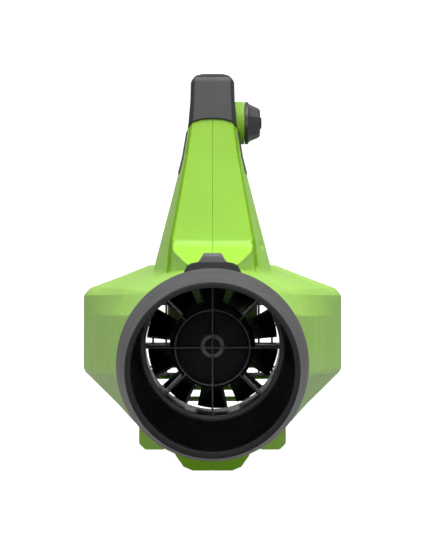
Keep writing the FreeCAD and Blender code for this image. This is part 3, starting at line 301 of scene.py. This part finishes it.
def mesh_from(skin, name):
    mesh = bpy.data.meshes.new(name)
    skin.to_mesh(mesh)
    skin.free()
    return mesh


def piece_from(skin, name, node, smooth_angle):
    """A piece that stands for a CAD node and rides on its body."""
    mesh = mesh_from(skin, name)
    mesh.polygons.foreach_set("use_smooth", [True] * len(mesh.polygons))
    mesh.set_sharp_from_angle(angle=math.radians(smooth_angle))
    piece = linked(name, mesh)
    piece.modifiers.new("weighted_normals", "WEIGHTED_NORMAL").keep_sharp = True
    mesh.materials.append(look_of(node))
    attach(piece, BODY_OF[node])
    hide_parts(node)
    return piece


def edge_angle(edge):
    """How far a surface turns over an edge, in degrees."""
    return math.degrees(edge.calc_face_angle(0))


def middle(edge):
    return (edge.verts[0].co + edge.verts[1].co) / 2


def rounded(skin, choose, radius, chords):
    """Rounds the edges that choose accepts."""
    edges = [edge for edge in skin.edges if edge.is_manifold and choose(edge)]
    if edges:
        bmesh.ops.bevel(skin, geom=edges, offset=radius, offset_type="OFFSET", segments=chords,
                        profile=0.5, affect="EDGES", clamp_overlap=False, loop_slide=True)
        skin.normal_update()


def softened(node, radius, sharpest, chords, smooth_angle):
    """A CAD node with every edge that turns by more than sharpest broken by a small radius."""
    skin = welded(node)
    rounded(skin, lambda edge: edge_angle(edge) > sharpest, radius, chords)
    return piece_from(skin, node + "_moulded", node, smooth_angle)


def paint(piece, look, choose):
    """Gives the faces that choose accepts a second finish."""
    piece.data.materials.append(look)
    for polygon in piece.data.polygons:
        if choose(polygon):
            polygon.material_index = 1


def soft_grip():
    """The soft cap over the grip: a smooth front, and darker sides, top and lower lip. The sides are
    partly a darker, coarser rubber and partly painted shade; the dark top is painted shade and the
    dark lower lip is a painted gap shadow.
    """
    def off_front(polygon):
        return polygon.normal.y > -0.84 or polygon.normal.z < -0.2

    # Painted shade on every face that turns away from the front.
    paint(softened("handle_grip", 0.0014, 20, 4, 35), SOFT_SIDE_AND_PAINTED_SHADE, off_front)


def dial_knob():
    """The speed dial: a plain flange under a cone with flats for the thumb."""
    low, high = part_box("speed_dial")
    middle_y, middle_z = (low.y + high.y) / 2, (low.z + high.z) / 2
    rim = (high.z - low.z) / 2
    face = high.x - 0.0129
    profile = [
        # along X, radius, share of the flats
        (low.x, 0.003, 0),
        (face, 0.003, 0),
        (face, rim, 0),
        (face + 0.0028, rim, 0),
        (face + 0.0032, rim - 0.0013, 0),
        (face + 0.0046, rim - 0.0022, 1),
        (face + 0.0114, 0.0127, 1),
        (high.x, 0.0111, 1),
        (high.x, 0.0085, 0),
        (high.x - 0.0006, 0.0081, 0),
        (high.x - 0.0006, 0.0056, 0),
        (high.x, 0.0052, 0),
    ]
    flats, chords = 11, 132
    half_flat = math.pi / flats
    skin = bmesh.new()
    loops = []
    for x, radius, share in profile:
        loop = []
        for i in range(chords):
            angle = 2 * math.pi * i / chords
            across = (angle % (2 * half_flat)) - half_flat
            flat = math.cos(half_flat) / math.cos(across)
            reach = radius * (1 - share * (1 - flat))
            loop.append(skin.verts.new((x, middle_y + reach * math.cos(angle),
                                        middle_z + reach * math.sin(angle))))
        loops.append(loop)
    for first, second in zip(loops, loops[1:]):
        for i in range(chords):
            j = (i + 1) % chords
            skin.faces.new((first[i], first[j], second[j], second[i]))
    skin.faces.new(loops[0])
    skin.faces.new(loops[-1])
    bmesh.ops.recalc_face_normals(skin, faces=skin.faces)
    skin.normal_update()
    piece_from(skin, "speed_dial_moulded", "speed_dial", 22)


SPRINGS = {
    # node: (joint, the end that stays: 0 low or 1 high, share of its length kept at the limit)
    "tube_button_spring": ("tube_button_press", 0, 0.64),
    "battery_button_spring": ("battery_button_press", 0, 0.48),
    "trigger_spring": ("trigger_pull", 1, 0.68),
}


def coil_spring(node):
    """A spring as a piece of its own, riding on its body."""
    piece = piece_from(skin_of(node), node + "_wire", node, 60)
    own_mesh(piece)


def battery_ribs():
    """Upright finger ribs on both sides of the battery, near its back."""
    low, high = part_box("battery_case")
    count, pitch, first_rib = 5, 0.0075, 0.014
    half_width, proud, buried, crest = 0.0014, 0.0009, 0.0006, 0.6
    foot, head = low.z + 0.010, high.z - 0.006
    outline = ((-buried, -half_width), (-buried, half_width),
               (proud, half_width * crest), (proud, -half_width * crest))
    sides = ((0, 1, 2, 3), (4, 5, 6, 7), (0, 1, 5, 4), (1, 2, 6, 5), (2, 3, 7, 6), (3, 0, 4, 7))
    skin = bmesh.new()
    for side, face in ((-1, low.x), (1, high.x)):
        for i in range(count):
            middle_y = high.y - first_rib - pitch * i
            points = [skin.verts.new((face + side * depth, middle_y + reach, height))
                      for height in (foot, head) for depth, reach in outline]
            for corners in sides:
                skin.faces.new([points[corner] for corner in corners])
    bmesh.ops.recalc_face_normals(skin, faces=skin.faces)
    ribs = linked("battery_ribs", mesh_from(skin, "battery_ribs"))
    ribs.data.materials.append(look_of("battery_case"))
    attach(ribs, BODY_OF["battery_case"])


def housing_shells():
    """Both clamshell halves, with generous radii on the outside and a fine break at the seam, and
    painted shade on the post's chamfer bands and on the pad under the neck.
    """
    halves = ("housing_left", "housing_right")
    graph = bpy.context.evaluated_depsgraph_get()
    trees = [BVHTree.FromObject(NODES[node], graph) for node in halves]
    long_edge, short_edge, clearance = 0.03, 0.006, 0.0004

    def shows(edge):
        """An edge with nothing of the housing outside it."""
        outward = sum((face.normal for face in edge.link_faces), Vector()).normalized()
        start = middle(edge) + outward * clearance
        return all(tree.ray_cast(start, outward)[0] is None for tree in trees)

    def on_wing(edge):
        """A long edge of the wings, outside or inside, so that the wall keeps its thickness."""
        return (abs(middle(edge).x) > 0.055 and edge.calc_length() > long_edge
                and 33 < edge_angle(edge) < 60)

    def on_wing_top(edge):
        return 0.11 < middle(edge).z < 0.16 and on_wing(edge)

    def on_wing_bottom(edge):
        return 0.04 < middle(edge).z < 0.09 and on_wing(edge)

    def on_keel(edge):
        """The crease between the lower wing face and the flat underside."""
        place = middle(edge)
        return (abs(place.x) > 0.03 and place.z < 0.034 and edge.calc_length() > long_edge
                and 40 < edge_angle(edge) < 50 and shows(edge))

    def on_post(edge):
        """The chamfers that run up the post, clear of the tongue below and the cap above."""
        place = middle(edge)
        heights = [vertex.co.z for vertex in edge.verts]
        return (min(heights) > 0.18 and max(heights) < 0.28 and place.y < 0.15
                and abs(place.x) > 0.01 and edge.is_convex and 24 < edge_angle(edge) < 70
                and edge.calc_length() > short_edge and shows(edge))

    def on_rim(edge):
        return edge_angle(edge) > 62 and shows(edge)

    def on_band(polygon):
        """The narrow chamfer band between the post's front and its side, which gets a darker green
        as painted shade.
        """
        place, normal = polygon.center, polygon.normal
        return (place.z > 0.16 and place.y < 0.13 and 0.5 < abs(normal.x) < 0.88
                and normal.y < -0.3 and abs(normal.z) < 0.35)

    def on_pad(polygon):
        """The rest under the neck, which stands in the shade of the tube; its darker green is
        painted shade.
        """
        place = polygon.center
        return place.z < 0.043 and place.y < 0.115 and abs(place.x) < 0.032

    for node in halves:
        skin = welded(node)
        for choose, radius, chords in ((on_wing_top, 0.002, 4), (on_wing_bottom, 0.0035, 4),
                                       (on_keel, 0.0015, 3), (on_post, 0.0011, 3),
                                       (on_rim, 0.0005, 2)):
            rounded(skin, choose, radius, chords)
        many_sided = [face for face in skin.faces if len(face.verts) > 4]
        bmesh.ops.triangulate(skin, faces=many_sided)
        piece = piece_from(skin, node + "_moulded", node, 40)
        # Painted shade: the chamfer bands and the pad get the darker green.
        paint(piece, PAINTED_SHADE_GREEN, lambda polygon: on_band(polygon) or on_pad(polygon))


HARD_EDGE = 30  # degrees
EDGE_BREAKS = {
    # node: (radius in metres, chords, smoothing angle in degrees)
    "grip_back": (0.0003, 2, 35),
    "grip_underside": (0.0008, 3, 35),
    "tube_collar": (0.0008, 3, 30),
    "tube_button": (0.0003, 2, 30),
    "outlet_guard": (0.0003, 2, 30),
    "motor_nose": (0.0005, 2, 30),
    "dial_boss": (0.0008, 3, 30),
    "dial_cap": (0.0005, 3, 30),
    "battery_case": (0.0016, 4, 30),
    "battery_lid": (0.0016, 4, 30),
    "battery_button": (0.0008, 3, 30),
    "battery_bay": (0.0008, 3, 30),
    "rear_cover": (0.0005, 2, 30),
    "intake_grille": (0.0003, 2, 30),
    "trigger": (0.0012, 4, 35),
}


# ---------------------------------------------------------------- stage


FLOOR_RADIUS = 3.2
CENTRE_HOLE = 0.001  # far too small to show
WALL_RADIUS, WALL_BEND, WALL_HEIGHT, BEND_STEPS = 12.0, 1.4, 14.0, 12
REFLECTOR_HEIGHT = -0.002


def ring_surface(name, profile, chords=72):
    """A surface turned about Z through (radius, height) points."""
    points, faces = [], []
    for radius, height in profile:
        for i in range(chords):
            angle = 2 * math.pi * i / chords
            points.append((radius * math.cos(angle), radius * math.sin(angle), height))
    for row in range(len(profile) - 1):
        for i in range(chords):
            j = (i + 1) % chords
            faces.append((row * chords + i, row * chords + j, (row + 1) * chords + j,
                          (row + 1) * chords + i))
    mesh = bpy.data.meshes.new(name)
    mesh.from_pydata(points, [], faces)
    mesh.polygons.foreach_set("use_smooth", [True] * len(faces))
    return linked(name, mesh)


def wall_profile():
    """Flat from the floor's edge, then a quarter turn up into an upright wall."""
    profile = [(FLOOR_RADIUS, 0), (WALL_RADIUS, 0)]
    for i in range(1, BEND_STEPS + 1):
        angle = math.pi / 2 * i / BEND_STEPS
        profile.append((WALL_RADIUS + WALL_BEND * math.sin(angle),
                        WALL_BEND * (1 - math.cos(angle))))
    return profile + [(WALL_RADIUS + WALL_BEND, WALL_HEIGHT)]


def stage():
    """A seamless white floor that curves up into a wall, over a dimmer one for reflections."""
    floor = ring_surface("studio_floor", [(CENTRE_HOLE, 0), (FLOOR_RADIUS, 0)])
    wall = ring_surface("studio_wall", wall_profile())
    reflector = ring_surface("studio_reflector", [(CENTRE_HOLE, REFLECTOR_HEIGHT),
                                                  (FLOOR_RADIUS, REFLECTOR_HEIGHT)])
    for name, strength, parts in (("studio_white", 0.95, (floor, wall)),
                                  ("reflected_white", 0.32, (reflector,))):
        graph = Graph(name)
        graph.set(Base_Color=(0.5, 0.5, 0.5, 1), Roughness=0.9, Emission_Color=(1, 1, 1, 1),
                  Emission_Strength=strength)
        for part in parts:
            part.data.materials.append(graph.material)
            part.visible_diffuse = False
            part.visible_glossy = part is reflector
            part.visible_camera = part is not reflector
            part.visible_shadow = part is floor


AREA_LIGHTS = {
    # name: (place, the point it faces, width, height, watts)
    "top_soft_box": ((0.2, -0.2, 1.7), (0, 0.15, 0.2), 1.5, 1.5, 21),
    "front_soft_box": ((0.22, -1.35, 2.05), (0, 0.1, 0.2), 0.9, 0.7, 22.5),
    "lens_fill": ((0, -1.55, 0.2), (0, 0.1, 0.12), 0.3, 0.3, 5.5),
}


def room():
    """A pale room that is dark below the horizon."""
    world = bpy.data.worlds.new("studio_world")
    world.use_nodes = True
    nodes, links = world.node_tree.nodes, world.node_tree.links
    background = nodes["Background"]
    background.inputs["Strength"].default_value = 0.7
    direction = nodes.new("ShaderNodeTexCoord")
    split = nodes.new("ShaderNodeSeparateXYZ")
    height = nodes.new("ShaderNodeMapRange")
    height.inputs["From Min"].default_value = -0.6
    height.inputs["From Max"].default_value = 0.35
    height.inputs["To Min"].default_value = 0.11
    links.new(direction.outputs["Generated"], split.inputs["Vector"])
    links.new(split.outputs["Z"], height.inputs["Value"])
    links.new(height.outputs["Result"], background.inputs["Color"])
    SCENE.world = world


def lights():
    """A soft box overhead, one in front, and a weak one beside the camera."""
    for name, (place, target, width, height, power) in AREA_LIGHTS.items():
        data = bpy.data.lights.new(name, "AREA")
        data.shape = "RECTANGLE"
        data.size, data.size_y, data.energy = width, height, power
        light = linked(name, data)
        light.location = place
        aim = Vector(target) - Vector(place)
        light.rotation_euler = aim.to_track_quat("-Z", "Y").to_euler()


def camera():
    """Level with the middle of the body, in line with the tube, looking very slightly up."""
    data = bpy.data.cameras.new("camera")
    data.lens, data.sensor_width, data.sensor_fit = 120, 36, "AUTO"
    data.clip_start, data.clip_end = 0.05, 50
    seen = linked("camera", data)
    seen.location = (0, -1.36, 0.1355)
    seen.rotation_euler = (math.radians(90 + 1.008), 0, math.radians(-0.16))
    SCENE.camera = seen


SCENE.view_settings.view_transform = "Standard"
dress_nodes()
housing_shells()
soft_grip()
for name, (radius, chords, smooth_angle) in EDGE_BREAKS.items():
    softened(name, radius, HARD_EDGE, chords, smooth_angle)
dial_knob()
for name, (joint, fixed_end, keep) in SPRINGS.items():
    coil_spring(name)
battery_ribs()
stage()
room()
lights()
camera()
